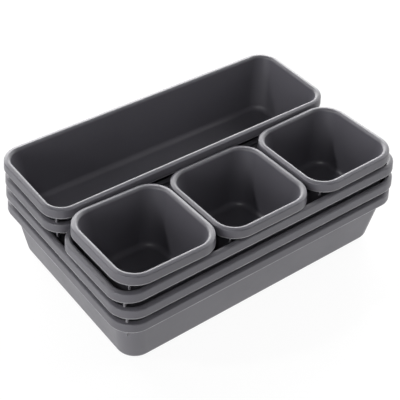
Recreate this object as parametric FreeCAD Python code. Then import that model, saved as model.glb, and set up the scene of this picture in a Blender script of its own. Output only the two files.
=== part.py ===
import FreeCAD, Part
import math
import os

# Set of plastic drawer organizer trays, nested one inside the other as they are stored.
# Millimetres, +Z up. The origin is the centre of the lowest tray's base, on the surface it stands on.
# X runs along the length of the trays. The two long trays are at the back (+Y), the bins in front (-Y).

# ---- driving dimensions ----
large_length = 240.0
large_width = 160.0
long_length = 240.0
long_width = 77.5
bin_side = 76.7
tray_height = 46.0

large_corner_radius = 17.5
long_corner_radius = 16.5
bin_corner_radius = 18.5

wall_thickness = 1.4
floor_thickness = 1.4
wall_draft_deg = 7.85
base_round = 6.0

# Rim section: an inverted channel that hangs outside the wall. Insets are measured inwards from the
# skirt's lower outer edge, depths are measured down from the top of the rim.
rim_inset = 4.9
edge_roll = 2.2
shoulder_inner_inset = 1.1
shoulder_inner_depth = 0.5
shoulder_outer_inset = 0.45
shoulder_outer_depth = 1.6
skirt_depth = 7.0
skirt_thickness = 1.1
land_thickness = 1.2

# Corner ribs: thin plates under the rim that brace the skirt and space one tray above the next. The
# outer corner of each rib's foot is cut off, so that it slips past the inner edge of the rim below.
rib_thickness = 1.4
rib_depth = 12.3
rib_foot_cut = 1.0

# How the trays lie in each other. Two trays of one size sit a full pitch apart on their corner ribs.
# A long tray stands on its outer corner ribs only, so it leans down towards the middle of the large
# tray. The bins sink further into the long tray, the outer two leaning down towards the middle one.
# What lies in a leaning tray is stepped along with its lean.
nest_pitch = 12.5
long_pitch = 11.7
outer_bin_pitch = 10.75
middle_bin_pitch = 8.5
rear_row_y = 39.1
front_row_y = -38.9
long_lean_deg = 1.4
bin_row_x = -0.35
bin_spacing = 77.25
bin_lean_deg = 1.35

wall_slope = math.tan(math.radians(wall_draft_deg))
wall_inset = rim_inset - wall_thickness
mouth_inset = rim_inset + wall_slope * edge_roll
rim_middle_height = tray_height - shoulder_inner_depth - land_thickness / 2
x_axis = FreeCAD.Vector(1, 0, 0)
y_axis = FreeCAD.Vector(0, 1, 0)
z_axis = FreeCAD.Vector(0, 0, 1)
origin = FreeCAD.Vector(0, 0, 0)


def rounded_rectangle(length, width, radius, height):
    """Closed wire of a rectangle with round corners, centred on the Z axis at the given height."""
    half_x = length / 2 - radius
    half_y = width / 2 - radius
    corners = [(half_x, half_y, 0), (-half_x, half_y, 90), (-half_x, -half_y, 180), (half_x, -half_y, 270)]
    arcs = []
    for centre_x, centre_y, start_deg in corners:
        points = []
        for turn_deg in (0, 45, 90):
            angle = math.radians(start_deg + turn_deg)
            x = centre_x + radius * math.cos(angle)
            y = centre_y + radius * math.sin(angle)
            points.append(FreeCAD.Vector(x, y, height))
        arcs.append(points)
    edges = []
    for index, points in enumerate(arcs):
        next_points = arcs[(index + 1) % len(arcs)]
        edges.append(Part.Arc(*points).toShape())
        edges.append(Part.LineSegment(points[2], next_points[0]).toShape())
    return Part.Wire(edges)


def block(length, width, sections):
    """Solid between stacked rounded rectangles. Each section is (inset, corner radius, height)."""
    wires = []
    for inset, radius, height in sections:
        wires.append(rounded_rectangle(length - 2 * inset, width - 2 * inset, radius, height))
    return Part.makeLoft(wires, True, True)


def edges_at_height(shape, height):
    """Edges of the shape that lie wholly at one height."""
    tolerance = 1e-4
    flat = []
    for edge in shape.Edges:
        box = edge.BoundBox
        if abs(box.ZMin - height) < tolerance and abs(box.ZMax - height) < tolerance:
            flat.append(edge)
    return flat


def drafted_body(length, width, corner_radius, inset_at_rim, bottom_height, top_height, bottom_round):
    """Solid that narrows downwards, with a rounded bottom edge. Its inset is given at the rim's level."""
    sections = []
    for height in (bottom_height, top_height):
        inset = inset_at_rim + wall_slope * (tray_height - height)
        sections.append((inset, corner_radius, height))
    body = block(length, width, sections)
    return body.makeFillet(bottom_round, edges_at_height(body, bottom_height))


def cavity_mouth(length, width, corner_radius):
    """Flare at the top of the cavity that rounds over the rim's inner edge."""
    sections = []
    for turn_deg in (0, 30, 60, 90):
        inset_step = edge_roll * (1 - math.cos(math.radians(turn_deg)))
        depth = edge_roll * (1 - math.sin(math.radians(turn_deg)))
        radius = corner_radius - rim_inset + inset_step
        sections.append((mouth_inset - inset_step, radius, tray_height - depth))
    return block(length, width, sections)


def rim_block(length, width, corner_radius):
    """Outside of the rim, filled: skirt, rounded shoulder and sloping top land."""
    shoulder_middle_inset = shoulder_outer_inset + 0.25 * (shoulder_inner_inset - shoulder_outer_inset)
    shoulder_middle_depth = shoulder_inner_depth + 0.35 * (shoulder_outer_depth - shoulder_inner_depth)
    profile = [
        (0.0, skirt_depth),
        (shoulder_outer_inset, shoulder_outer_depth),
        (shoulder_middle_inset, shoulder_middle_depth),
        (shoulder_inner_inset, shoulder_inner_depth),
    ]
    sections = []
    for inset, depth in profile:
        sections.append((inset, corner_radius - inset, tray_height - depth))
    mouth_radius = corner_radius - rim_inset + edge_roll
    sections.append((mouth_inset - edge_roll, mouth_radius, tray_height))
    return block(length, width, sections)


def rim_channel(length, width, corner_radius):
    """Hollow under the rim, out to the inside of the skirt."""
    roof_inset = shoulder_outer_inset + skirt_thickness
    roof_depth = shoulder_inner_depth + land_thickness
    sections = [
        (skirt_thickness, corner_radius - skirt_thickness, tray_height - skirt_depth),
        (roof_inset, corner_radius - roof_inset, tray_height - roof_depth),
    ]
    return block(length, width, sections)


def corner_ribs(length, width, corner_radius):
    """Four thin plates on the corner diagonals, from the skirt's inner face in past the tray's wall."""
    foot = tray_height - rib_depth
    outer_end = corner_radius - skirt_thickness
    inner_end = corner_radius - wall_inset - wall_slope * rib_depth - 2 * wall_thickness
    outline = [
        (inner_end, foot),
        (outer_end - rib_foot_cut, foot),
        (outer_end, foot + rib_foot_cut),
        (outer_end, rim_middle_height),
        (inner_end, rim_middle_height),
        (inner_end, foot),
    ]
    points = [FreeCAD.Vector(reach, -rib_thickness / 2, height) for reach, height in outline]
    ribs = []
    for side_x in (1, -1):
        for side_y in (1, -1):
            plate = Part.Face(Part.makePolygon(points)).extrude(y_axis * rib_thickness)
            plate.rotate(origin, z_axis, math.degrees(math.atan2(side_y, side_x)))
            centre_x = side_x * (length / 2 - corner_radius)
            centre_y = side_y * (width / 2 - corner_radius)
            plate.translate(FreeCAD.Vector(centre_x, centre_y, 0))
            ribs.append(plate)
    return ribs


def make_tray(length, width, corner_radius):
    """One open tray: thin drafted wall, rounded base, hollow rim with a skirt, four corner ribs."""
    outer_radius = corner_radius - wall_inset
    inner_radius = corner_radius - rim_inset
    body = drafted_body(length, width, outer_radius, wall_inset, 0.0, rim_middle_height, base_round)
    cavity_round = base_round - wall_thickness
    cavity = drafted_body(length, width, inner_radius, rim_inset, floor_thickness, tray_height, cavity_round)
    mouth = cavity_mouth(length, width, corner_radius)
    rim = rim_block(length, width, corner_radius).cut(rim_channel(length, width, corner_radius))
    ribs = corner_ribs(length, width, corner_radius)
    shell = body.fuse([rim] + ribs).cut([cavity, mouth])
    return shell.removeSplitter().Solids[0]


def lay(tray, x, y, rim_height, lean_x_deg=0.0, lean_y_deg=0.0):
    """Put a tray's rim centre at a place, turned about the X axis and then about the Y axis."""
    placed = tray.copy()
    rim_centre = FreeCAD.Vector(0, 0, tray_height)
    placed.rotate(rim_centre, x_axis, lean_x_deg)
    placed.rotate(rim_centre, y_axis, lean_y_deg)
    placed.translate(FreeCAD.Vector(x, y, rim_height - tray_height))
    return placed


def nested_set():
    """Every tray of the set by name, each in its place."""
    large = make_tray(large_length, large_width, large_corner_radius)
    long = make_tray(long_length, long_width, long_corner_radius)
    small = make_tray(bin_side, bin_side, bin_corner_radius)

    upper_large_rim = tray_height + nest_pitch
    long_rim = upper_large_rim + long_pitch
    outer_bin_rim = long_rim + outer_bin_pitch
    middle_bin_rim = long_rim + middle_bin_pitch

    left_x = bin_row_x - bin_spacing
    right_x = bin_row_x + bin_spacing
    lean_step = math.sin(math.radians(long_lean_deg))
    rear_upper_y = rear_row_y - nest_pitch * lean_step
    outer_bin_y = front_row_y + outer_bin_pitch * lean_step
    middle_bin_y = front_row_y + middle_bin_pitch * lean_step

    return {
        "lower_large_tray": lay(large, 0, 0, tray_height),
        "upper_large_tray": lay(large, 0, 0, upper_large_rim),
        "rear_lower_long_tray": lay(long, 0, rear_row_y, long_rim, long_lean_deg),
        "rear_upper_long_tray": lay(long, 0, rear_upper_y, long_rim + nest_pitch, long_lean_deg),
        "front_long_tray": lay(long, 0, front_row_y, long_rim, -long_lean_deg),
        "left_small_bin": lay(small, left_x, outer_bin_y, outer_bin_rim, -long_lean_deg, bin_lean_deg),
        "middle_small_bin": lay(small, bin_row_x, middle_bin_y, middle_bin_rim, -long_lean_deg),
        "right_small_bin": lay(small, right_x, outer_bin_y, outer_bin_rim, -long_lean_deg, -bin_lean_deg),
    }


os.makedirs("parts", exist_ok=True)
for name, shape in nested_set().items():
    shape.exportStep("parts/" + name + ".step")
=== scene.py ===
import bmesh
import bpy
import math
from mathutils import Matrix, Quaternion, Vector


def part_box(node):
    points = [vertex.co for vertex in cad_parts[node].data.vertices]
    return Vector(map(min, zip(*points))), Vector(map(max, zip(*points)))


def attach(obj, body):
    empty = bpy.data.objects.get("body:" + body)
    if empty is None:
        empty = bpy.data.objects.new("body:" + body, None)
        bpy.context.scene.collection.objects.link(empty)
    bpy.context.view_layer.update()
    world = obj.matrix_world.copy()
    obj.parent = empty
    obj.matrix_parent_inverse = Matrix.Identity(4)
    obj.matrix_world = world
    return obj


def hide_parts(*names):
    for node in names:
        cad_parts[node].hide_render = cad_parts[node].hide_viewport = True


# Nested set of grey moulded drawer trays. Metres, in the frame of the CAD model: +Z up, the origin at
# the centre of the lowest tray's base, X along the trays, the two long trays at the back (+Y).
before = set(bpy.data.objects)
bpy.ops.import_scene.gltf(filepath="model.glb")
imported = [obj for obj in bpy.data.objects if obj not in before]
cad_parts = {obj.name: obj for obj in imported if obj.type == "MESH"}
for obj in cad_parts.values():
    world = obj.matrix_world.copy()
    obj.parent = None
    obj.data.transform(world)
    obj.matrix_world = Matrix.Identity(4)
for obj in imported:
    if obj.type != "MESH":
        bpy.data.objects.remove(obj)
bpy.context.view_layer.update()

MM = 0.001

# ---- section of a tray: insets from the skirt's lower outer edge, depths from the top of the rim ----
TRAY_HEIGHT = 46.0 * MM
WALL_THICKNESS = 1.4 * MM
FLOOR_THICKNESS = 1.4 * MM
WALL_DRAFT = math.radians(7.85)
WALL_SLOPE = math.tan(WALL_DRAFT)
BASE_ROUND = 6.0 * MM
FLAT_REACH = 3 * BASE_ROUND
RIM_INSET = 4.9 * MM
EDGE_ROLL = 2.2 * MM
LAND_SLOPE = 0.26
SHOULDER_ROUND = 1.0 * MM
SKIRT_DEPTH = 7.0 * MM
SKIRT_SLOPE = 0.083
SKIRT_THICKNESS = 1.1 * MM
SKIRT_EDGE_ROUND = 0.3 * MM
# height of the band over which the painted highlight on the skirt's lower edge fades in
PAINTED_HIGHLIGHT_BAND = 0.5 * MM
CHANNEL_ROOF_DEPTH = 1.7 * MM
CHANNEL_ROUND = 0.4 * MM
CORNER_STEPS = 20

# ---- corner ribs under the rim ----
RIB_THICKNESS = 1.4 * MM
RIB_DEPTH = 12.3 * MM
RIB_FOOT_CUT = 1.0 * MM
RIB_ROOT_DEPTH = 1.4 * MM
RIB_EDGE_ROUND = 0.25 * MM
FOOT_TOLERANCE = 0.01 * MM

# ---- paleness, from 0 to 1: worn lip, shoulder and base that hands and other trays rub; painted highlight on the skirt's lower edges and painted light on the ribs ----
LIP_WEAR = 0.12
SHOULDER_WEAR = 0.05
# painted highlight: the skirt's lower edges, outer and inner, made paler to stand for the light they catch
SKIRT_FOOT_PAINTED_HIGHLIGHT = 1.0
SKIRT_BACK_PAINTED_HIGHLIGHT = 0.6
BASE_WEAR = 0.08
# painted light: the whole rib made paler to stand for the light that falls on it
RIB_PAINTED_LIGHT = 0.3

# ---- the plastic: body colours from dark to light patches, and the pale colour of worn edges, of the painted highlight on the skirts' lower edges and of the painted light on the ribs ----
BODY_DARK = (0.094, 0.091, 0.105)
BODY_LIGHT = (0.108, 0.105, 0.121)
SPECKLE_DARK = (0.93, 0.93, 0.93)
SPECKLE_LIGHT = (1.0, 1.0, 1.0)
# pale colour shared by worn edges and by the painted highlight on the skirts and painted light on the ribs
PALE_WEAR_AND_HIGHLIGHT = (0.480, 0.474, 0.490, 1.0)
PLASTIC_IOR = 1.49
GRAIN_DEPTH = 0.02 * MM
SINK_DEPTH = 0.15 * MM

# ---- the three tray sizes: length, width, rim corner radius ----
LARGE = (240.0 * MM, 160.0 * MM, 17.5 * MM)
LONG = (240.0 * MM, 77.5 * MM, 16.5 * MM)
SMALL = (76.7 * MM, 76.7 * MM, 18.5 * MM)

# ---- how far the loosely nested trays lean, in degrees about X and about Y ----
LONG_LEAN = 1.4
BIN_LEAN = 1.35
TRAYS = {
    "lower_large_tray": (LARGE, 0.0, 0.0),
    "upper_large_tray": (LARGE, 0.0, 0.0),
    "rear_lower_long_tray": (LONG, LONG_LEAN, 0.0),
    "rear_upper_long_tray": (LONG, LONG_LEAN, 0.0),
    "front_long_tray": (LONG, -LONG_LEAN, 0.0),
    "left_small_bin": (SMALL, -LONG_LEAN, BIN_LEAN),
    "middle_small_bin": (SMALL, -LONG_LEAN, 0.0),
    "right_small_bin": (SMALL, -LONG_LEAN, -BIN_LEAN),
}

# ---- soft lights, each an upright panel that fades at its sides and top: azimuth of its middle, half
# widths at full strength and at the faded edge, elevation of its top, strength. Azimuth 0 is in front
# (-Y) and 90 is on the right (+X). ----
SOFT_LIGHTS = [
    (160.0, 33.0, 45.0, 46.0, 6.5),
    (288.0, 6.0, 32.0, 26.0, 4.9),
    (88.0, 19.0, 44.0, 51.0, 2.6),
]
TOP_FADE = 8.0
ROOM_GLOW = 0.01

# ---- the floor: half its side, its level, its grey and its glow ----
FLOOR_REACH = 6.0
FLOOR_LEVEL = -0.2 * MM
FLOOR_GREY = (0.1, 0.1, 0.1, 1.0)
FLOOR_GLOW = 0.92

# ---- compact lamps far away: azimuth, elevation, apparent size in degrees, strength ----
LAMPS = [
    (241.0, 36.0, 4.0, 0.78),
    (-45.0, 50.0, 6.0, 0.32),
]

# ---- the view: the camera looks at this point from this direction ----
VIEW_AZIMUTH = -38.93
VIEW_ELEVATION = 40.6
VIEW_ROLL = 2.77
VIEW_DISTANCE = 663.6 * MM
VIEW_TARGET = (-14.0 * MM, -15.6 * MM, 56.0 * MM)
VIEW_LENS = 86.28
SENSOR_WIDTH = 36.0


# ------------------------------------------------------------------ section line

def wall_inset(depth, thickness=0.0):
    """Inset of the wall's inner face at a depth, or of a face that much further out."""
    return RIM_INSET - thickness + WALL_SLOPE * depth


def crossing(point, direction, other_point, other_direction):
    """Where two straight lines of the section meet."""
    gap = Vector(other_point) - Vector(point)
    turn = direction[0] * other_direction[1] - direction[1] * other_direction[0]
    along = (gap[0] * other_direction[1] - gap[1] * other_direction[0]) / turn
    return Vector(point) + Vector(direction) * along


def rounded(before, corner, after, radius, steps):
    """Points of the round arc that replaces one corner of the section line."""
    corner = Vector(corner)
    to_before = (Vector(before) - corner).normalized()
    to_after = (Vector(after) - corner).normalized()
    half_angle = to_before.angle(to_after) / 2
    centre = corner + (to_before + to_after).normalized() * (radius / math.sin(half_angle))
    reach = radius / math.tan(half_angle)
    start = corner + to_before * reach - centre
    end = corner + to_after * reach - centre
    sweep = start.angle(end)
    points = []
    for step in range(steps + 1):
        share = step / steps
        arm = start * math.sin((1 - share) * sweep) + end * math.sin(share * sweep)
        points.append(centre + arm / math.sin(sweep))
    return points


def tray_section():
    """The section line from the cavity's floor, up the wall, over the rim and down to the base. Each point
    is (inset, depth, on the wall, paleness): paleness peaks on the worn edges that hands and trays rub,
    and is a painted highlight along the skirt's lower edges."""
    floor_depth = TRAY_HEIGHT - FLOOR_THICKNESS
    wall = (WALL_SLOPE, 1.0)
    skirt = (-SKIRT_SLOPE, 1.0)
    land = (-1.0, LAND_SLOPE)
    level = (1.0, 0.0)

    # The land touches the roll over the cavity's edge, whose highest point is at depth zero.
    roll_centre = wall_inset(EDGE_ROLL) - EDGE_ROLL / math.cos(WALL_DRAFT)
    land_lift = EDGE_ROLL / math.cos(math.atan(LAND_SLOPE))
    land_point = (roll_centre, EDGE_ROLL - land_lift)

    floor_end = (wall_inset(floor_depth) + FLAT_REACH, floor_depth)
    floor_corner = (wall_inset(floor_depth), floor_depth)
    inner_top = crossing((wall_inset(0), 0), wall, land_point, land)
    skirt_top = crossing((SKIRT_SLOPE * SKIRT_DEPTH, 0), skirt, land_point, land)
    skirt_foot = (0.0, SKIRT_DEPTH)
    skirt_back = (SKIRT_THICKNESS, SKIRT_DEPTH)
    roof_level = (0.0, CHANNEL_ROOF_DEPTH)
    roof_outer = crossing((SKIRT_THICKNESS + SKIRT_SLOPE * SKIRT_DEPTH, 0), skirt, roof_level, level)
    roof_inner = crossing((wall_inset(0, WALL_THICKNESS), 0), wall, roof_level, level)
    base_corner = (wall_inset(TRAY_HEIGHT, WALL_THICKNESS), TRAY_HEIGHT)
    base_end = (base_corner[0] + FLAT_REACH, TRAY_HEIGHT)

    line = [floor_end, floor_corner, inner_top, skirt_top, skirt_foot, skirt_back]
    line += [roof_outer, roof_inner, base_corner, base_end]
    # One row for each corner of the line: radius, steps, on the wall, paleness (worn edges, and painted
    # highlight at the skirt's lower edges), spread evenly all round it.
    rounds = [
        (BASE_ROUND - WALL_THICKNESS, 10, True, 0.0, False),
        (EDGE_ROLL, 12, False, LIP_WEAR, False),
        (SHOULDER_ROUND, 8, False, SHOULDER_WEAR, False),
        (SKIRT_EDGE_ROUND, 4, False, SKIRT_FOOT_PAINTED_HIGHLIGHT, True),
        (SKIRT_EDGE_ROUND, 4, False, SKIRT_BACK_PAINTED_HIGHLIGHT, True),
        (CHANNEL_ROUND, 4, False, 0.0, False),
        (CHANNEL_ROUND, 4, True, 0.0, False),
        (BASE_ROUND, 12, True, BASE_WEAR, False),
    ]
    section = []
    for index, (radius, steps, on_wall, wear_and_highlight, even) in enumerate(rounds):
        before, corner, after = line[index:index + 3]
        # Above the skirt's foot the painted highlight fades in over a narrow band.
        if corner is skirt_foot:
            rise = SKIRT_EDGE_ROUND + PAINTED_HIGHLIGHT_BAND
            section.append((SKIRT_SLOPE * rise, SKIRT_DEPTH - rise, False, 0.0))
        for step, (inset, depth) in enumerate(rounded(before, corner, after, radius, steps)):
            share = 1.0 if even else math.sin(math.pi * step / steps)
            section.append((inset, depth, on_wall, wear_and_highlight * share))
    return section


# ------------------------------------------------------------------ meshes

def ring(length, width, radius, height):
    """Points round a rectangle with round corners, seen from above and anticlockwise."""
    points = []
    for quarter, (side_x, side_y) in enumerate(((1, 1), (-1, 1), (-1, -1), (1, -1))):
        centre_x = side_x * (length / 2 - radius)
        centre_y = side_y * (width / 2 - radius)
        for step in range(CORNER_STEPS + 1):
            angle = math.pi / 2 * (quarter + step / CORNER_STEPS)
            x = centre_x + radius * math.cos(angle)
            y = centre_y + radius * math.sin(angle)
            points.append((x, y, height))
    return points


def add_skin(mesh, size, wear_and_highlight_layer):
    """Add the tray's whole closed skin, made of rings that follow the section line."""
    length, width, corner_radius = size
    rings = []
    for inset, depth, on_wall, wear_and_highlight in tray_section():
        radius = corner_radius - inset
        if on_wall:
            radius += WALL_SLOPE * depth
        outline = ring(length - 2 * inset, width - 2 * inset, radius, TRAY_HEIGHT - depth)
        verts = [mesh.verts.new(point) for point in outline]
        for vert in verts:
            vert[wear_and_highlight_layer] = wear_and_highlight
        rings.append(verts)
    for upper, lower in zip(rings, rings[1:]):
        for index in range(len(upper)):
            after = (index + 1) % len(upper)
            mesh.faces.new((upper[index], upper[after], lower[after], lower[index]))
    mesh.faces.new(rings[0])
    mesh.faces.new(rings[-1])


def add_rib(mesh, size, side_x, side_y, wear_and_highlight_layer):
    """Add one thin rib on a corner's diagonal, between the wall and the skirt."""
    length, width, corner_radius = size
    outer = corner_radius - SKIRT_THICKNESS
    root_outer = outer - SKIRT_SLOPE * (SKIRT_DEPTH - RIB_ROOT_DEPTH)
    profile = [(root_outer, RIB_ROOT_DEPTH), (outer, SKIRT_DEPTH), (outer, RIB_DEPTH - RIB_FOOT_CUT)]
    profile.append((outer - RIB_FOOT_CUT, RIB_DEPTH))
    for depth in (RIB_DEPTH, RIB_ROOT_DEPTH):
        wall_face = corner_radius - RIM_INSET + WALL_THICKNESS - math.sqrt(2) * WALL_SLOPE * depth
        profile.append((wall_face - WALL_THICKNESS / 2, depth))
    heading = Matrix.Rotation(math.atan2(side_y, side_x), 4, "Z")
    centre = (side_x * (length / 2 - corner_radius), side_y * (width / 2 - corner_radius), TRAY_HEIGHT)
    place = Matrix.Translation(centre) @ heading
    faces = []
    for side in (-1, 1):
        points = [Vector((reach, side * RIB_THICKNESS / 2, -depth)) for reach, depth in profile]
        faces.append([mesh.verts.new(place @ point) for point in points])
        # The whole rib is painted paler: painted light standing for the light that falls on it.
        for vert in faces[-1]:
            vert[wear_and_highlight_layer] = RIB_PAINTED_LIGHT
    near, far = faces
    built = [mesh.faces.new(near), mesh.faces.new(list(reversed(far)))]
    for index in range(len(near)):
        after = (index + 1) % len(near)
        built.append(mesh.faces.new((near[after], near[index], far[index], far[after])))
    foot = TRAY_HEIGHT - RIB_DEPTH
    edges = set()
    for face in built:
        for edge in face.edges:
            if min(vert.co.z for vert in edge.verts) < foot + FOOT_TOLERANCE:
                edges.add(edge)
    bmesh.ops.bevel(mesh, geom=list(edges), offset=RIB_EDGE_ROUND, segments=2, profile=0.5, affect="EDGES")


def build_tray(node, size, lean_x, lean_y):
    """One tray as a finished mesh, leaned like its CAD node and moved to where that node is."""
    mesh = bmesh.new()
    wear_and_highlight_layer = mesh.verts.layers.float.new("wear_and_highlight")
    add_skin(mesh, size, wear_and_highlight_layer)
    for side_x in (1, -1):
        for side_y in (1, -1):
            add_rib(mesh, size, side_x, side_y, wear_and_highlight_layer)
    bmesh.ops.recalc_face_normals(mesh, faces=mesh.faces)

    rim_centre = Matrix.Translation((0, 0, TRAY_HEIGHT))
    lean = Matrix.Rotation(math.radians(lean_y), 4, "Y") @ Matrix.Rotation(math.radians(lean_x), 4, "X")
    mesh.transform(rim_centre @ lean @ rim_centre.inverted())
    low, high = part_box(node)
    for axis in range(3):
        values = [vert.co[axis] for vert in mesh.verts]
        shift = (low[axis] + high[axis] - min(values) - max(values)) / 2
        for vert in mesh.verts:
            vert.co[axis] += shift

    data = bpy.data.meshes.new(node + "_moulding")
    mesh.to_mesh(data)
    mesh.free()
    data.shade_smooth()
    piece = bpy.data.objects.new(node + "_moulding", data)
    bpy.context.collection.objects.link(piece)
    normals = piece.modifiers.new("even_normals", "WEIGHTED_NORMAL")
    normals.weight = 100
    return piece


# ------------------------------------------------------------------ material

def moulded_plastic():
    """Satin grey polypropylene: fine moulded grain, faint mottling, paler worn edges, a painted highlight
    on the skirts' lower edges and painted light on the ribs.
    """
    material = bpy.data.materials.new("moulded_grey_plastic")
    material.use_nodes = True
    nodes = material.node_tree.nodes
    links = material.node_tree.links
    nodes.clear()
    output = nodes.new("ShaderNodeOutputMaterial")
    shader = nodes.new("ShaderNodeBsdfPrincipled")
    links.new(shader.outputs["BSDF"], output.inputs["Surface"])
    shader.inputs["IOR"].default_value = PLASTIC_IOR
    place = nodes.new("ShaderNodeTexCoord")

    def noise(scale, detail, roughness):
        texture = nodes.new("ShaderNodeTexNoise")
        texture.inputs["Scale"].default_value = scale
        texture.inputs["Detail"].default_value = detail
        texture.inputs["Roughness"].default_value = roughness
        links.new(place.outputs["Object"], texture.inputs["Vector"])
        return texture.outputs["Fac"]

    def ramp(value, stops):
        node = nodes.new("ShaderNodeValToRGB")
        for element, (position, colour) in zip(node.color_ramp.elements, stops):
            element.position = position
            element.color = (*colour, 1.0)
        links.new(value, node.inputs["Fac"])
        return node.outputs["Color"]

    def mix(kind, factor, first, second):
        node = nodes.new("ShaderNodeMix")
        node.data_type = "RGBA"
        node.blend_type = kind
        if isinstance(factor, float):
            node.inputs["Factor"].default_value = factor
        else:
            links.new(factor, node.inputs["Factor"])
        links.new(first, node.inputs["A"])
        links.new(second, node.inputs["B"])
        return node.outputs["Result"]

    def spread(value, low, high, to_low=0.0, to_high=1.0):
        node = nodes.new("ShaderNodeMapRange")
        node.inputs["From Min"].default_value = low
        node.inputs["From Max"].default_value = high
        node.inputs["To Min"].default_value = to_low
        node.inputs["To Max"].default_value = to_high
        links.new(value, node.inputs["Value"])
        return node.outputs["Result"]

    def bump(height, strength, depth):
        node = nodes.new("ShaderNodeBump")
        node.inputs["Strength"].default_value = strength
        node.inputs["Distance"].default_value = depth
        links.new(height, node.inputs["Height"])
        return node

    mottle_pattern = noise(scale=14.0, detail=4.0, roughness=0.55)
    mottle = ramp(mottle_pattern, [(0.3, BODY_DARK), (0.7, BODY_LIGHT)])
    speckle_pattern = noise(scale=2600.0, detail=2.0, roughness=0.6)
    speckle = ramp(speckle_pattern, [(0.35, SPECKLE_DARK), (0.65, SPECKLE_LIGHT)])
    body = mix("MULTIPLY", 1.0, mottle, speckle)

    # Paleness from the mesh: worn edges, plus painted highlight on the skirts' lower edges and painted
    # light on the ribs.
    wear_and_highlight = nodes.new("ShaderNodeAttribute")
    wear_and_highlight.attribute_name = "wear_and_highlight"
    patches = spread(noise(scale=60.0, detail=5.0, roughness=0.6), low=0.15, high=0.65)
    wear_and_highlight_share = nodes.new("ShaderNodeMath")
    wear_and_highlight_share.operation = "MULTIPLY"
    links.new(wear_and_highlight.outputs["Fac"], wear_and_highlight_share.inputs[0])
    links.new(patches, wear_and_highlight_share.inputs[1])
    pale = nodes.new("ShaderNodeRGB")
    pale.outputs["Color"].default_value = PALE_WEAR_AND_HIGHLIGHT
    colour = mix("MIX", wear_and_highlight_share.outputs["Value"], body, pale.outputs["Color"])
    links.new(colour, shader.inputs["Base Color"])

    gloss_pattern = noise(scale=35.0, detail=6.0, roughness=0.65)
    gloss = spread(gloss_pattern, low=0.3, high=0.7, to_low=0.33, to_high=0.42)
    links.new(gloss, shader.inputs["Roughness"])

    grain = bump(noise(scale=2200.0, detail=3.0, roughness=0.55), strength=0.25, depth=GRAIN_DEPTH)
    sink = bump(noise(scale=22.0, detail=2.0, roughness=0.4), strength=0.3, depth=SINK_DEPTH)
    links.new(grain.outputs["Normal"], sink.inputs["Normal"])
    links.new(sink.outputs["Normal"], shader.inputs["Normal"])
    return material


# ------------------------------------------------------------------ stage, light, camera

def pale_floor():
    """Plain white floor that glows a little, like the table of a light box."""
    data = bpy.data.meshes.new("floor")
    signs = [(-1, -1), (1, -1), (1, 1), (-1, 1)]
    corners = [(side_x * FLOOR_REACH, side_y * FLOOR_REACH, FLOOR_LEVEL) for side_x, side_y in signs]
    data.from_pydata(corners, [], [(0, 1, 2, 3)])
    floor = bpy.data.objects.new("floor", data)
    bpy.context.collection.objects.link(floor)
    material = bpy.data.materials.new("pale_floor")
    material.use_nodes = True
    shader = material.node_tree.nodes["Principled BSDF"]
    shader.inputs["Base Color"].default_value = FLOOR_GREY
    shader.inputs["Roughness"].default_value = 0.9
    shader.inputs["Specular IOR Level"].default_value = 0.1
    shader.inputs["Emission Color"].default_value = (1.0, 1.0, 1.0, 1.0)
    shader.inputs["Emission Strength"].default_value = FLOOR_GLOW
    data.materials.append(material)


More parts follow.
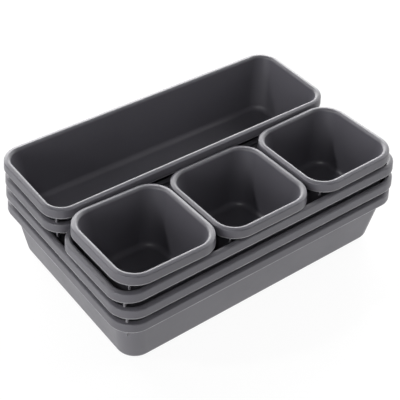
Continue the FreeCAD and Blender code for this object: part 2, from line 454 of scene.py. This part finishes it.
def studio_world():
    """Soft studio surround: tall soft panels behind and on both sides, dark overhead and in front."""
    world = bpy.data.worlds.new("studio")
    bpy.context.scene.world = world
    world.use_nodes = True
    nodes = world.node_tree.nodes
    links = world.node_tree.links
    background = nodes["Background"]
    background.inputs["Color"].default_value = (1.0, 1.0, 1.0, 1.0)
    place = nodes.new("ShaderNodeTexCoord")

    def vector_step(operation, first, second=None):
        node = nodes.new("ShaderNodeVectorMath")
        node.operation = operation
        links.new(first, node.inputs[0])
        if second is not None:
            node.inputs[1].default_value = second
        return node.outputs

    def fade(value, dark_at, full_at, strength):
        node = nodes.new("ShaderNodeMapRange")
        node.interpolation_type = "SMOOTHSTEP"
        node.inputs["From Min"].default_value = dark_at
        node.inputs["From Max"].default_value = full_at
        node.inputs["To Max"].default_value = strength
        links.new(value, node.inputs["Value"])
        return node.outputs["Result"]

    direction = place.outputs["Generated"]
    level = vector_step("MULTIPLY", direction, (1.0, 1.0, 0.0))["Vector"]
    heading = vector_step("NORMALIZE", level)["Vector"]
    height = vector_step("DOT_PRODUCT", direction, (0.0, 0.0, 1.0))["Value"]
    total = None
    for azimuth, core, edge, top, strength in SOFT_LIGHTS:
        turn = math.radians(azimuth)
        facing = vector_step("DOT_PRODUCT", heading, (math.sin(turn), -math.cos(turn), 0.0))["Value"]
        sideways = fade(facing, math.cos(math.radians(edge)), math.cos(math.radians(core)), strength)
        top_dark = math.sin(math.radians(top + TOP_FADE))
        top_full = math.sin(math.radians(top - TOP_FADE))
        upwards = fade(height, top_dark, top_full, 1.0)
        add = nodes.new("ShaderNodeMath")
        add.operation = "MULTIPLY_ADD"
        links.new(sideways, add.inputs[0])
        links.new(upwards, add.inputs[1])
        add.inputs[2].default_value = ROOM_GLOW
        if total is not None:
            links.new(total, add.inputs[2])
        total = add.outputs["Value"]
    links.new(total, background.inputs["Strength"])


def distant_lamp(azimuth, elevation, apparent_size, strength):
    """One compact lamp far away, which throws crisp shadows and draws the light edges of the rims."""
    data = bpy.data.lights.new("lamp", "SUN")
    data.energy = strength
    data.angle = math.radians(apparent_size)
    lamp = bpy.data.objects.new("lamp", data)
    turn = math.radians(azimuth)
    rise = math.radians(elevation)
    towards = Vector((math.sin(turn) * math.cos(rise), -math.cos(turn) * math.cos(rise), math.sin(rise)))
    lamp.rotation_euler = (-towards).to_track_quat("-Z", "Y").to_euler()
    bpy.context.collection.objects.link(lamp)


def main_camera():
    """Camera at the photograph's angle, a little rolled."""
    data = bpy.data.cameras.new("camera")
    data.lens = VIEW_LENS
    data.sensor_width = SENSOR_WIDTH
    camera = bpy.data.objects.new("camera", data)
    azimuth = math.radians(VIEW_AZIMUTH)
    elevation = math.radians(VIEW_ELEVATION)
    level = math.cos(elevation)
    back = Vector((math.sin(azimuth) * level, -math.cos(azimuth) * level, math.sin(elevation)))
    camera.location = Vector(VIEW_TARGET) + back * VIEW_DISTANCE
    turn = (-back).to_track_quat("-Z", "Y") @ Quaternion((0, 0, 1), math.radians(VIEW_ROLL))
    camera.rotation_euler = turn.to_euler()
    bpy.context.collection.objects.link(camera)
    bpy.context.scene.camera = camera


bpy.context.scene.view_settings.view_transform = "Standard"
plastic = moulded_plastic()
for node, (size, lean_x, lean_y) in TRAYS.items():
    moulding = build_tray(node, size, lean_x, lean_y)
    moulding.data.materials.append(plastic)
    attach(moulding, node)
    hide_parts(node)

pale_floor()
studio_world()
for lamp in LAMPS:
    distant_lamp(*lamp)
main_camera()
